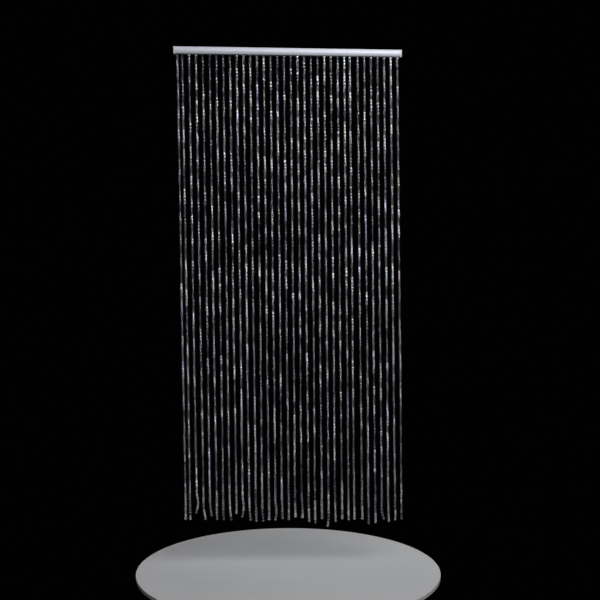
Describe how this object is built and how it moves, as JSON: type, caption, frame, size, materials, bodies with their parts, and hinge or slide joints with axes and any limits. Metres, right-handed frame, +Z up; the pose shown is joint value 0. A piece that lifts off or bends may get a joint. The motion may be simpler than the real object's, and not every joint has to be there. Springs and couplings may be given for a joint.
{
  "type": "bead curtain on rail",
  "caption": "Clear faceted bead strands hanging side by side from a slim bow-fronted metal rail with plastic end caps, for a doorway, window or room divider.",
  "frame": {"origin": "centre of the rail's flat back face, at mid height, where it lies on the wall or lintel", "axes": "+X along the rail to the right as seen from the front, +Y out of the rail's back into the wall, +Z up; the strands hang down -Z and the bowed front faces -Y"},
  "size_m": [1.3576, 0.0295, 2.8257],
  "materials": {
    "satin_metal": "satin, brushed along its length, faint lavender tint",
    "cap_plastic": "moulded, semi-matt, warm white",
    "bead_plastic": "clear faceted plastic with a pale iridescent coat"
  },
  "bodies": {
    "root": {"rail": "satin_metal", "end_cap_left": "cap_plastic", "end_cap_right": "cap_plastic", "strands": "bead_plastic"}
  },
  "joints": []
}
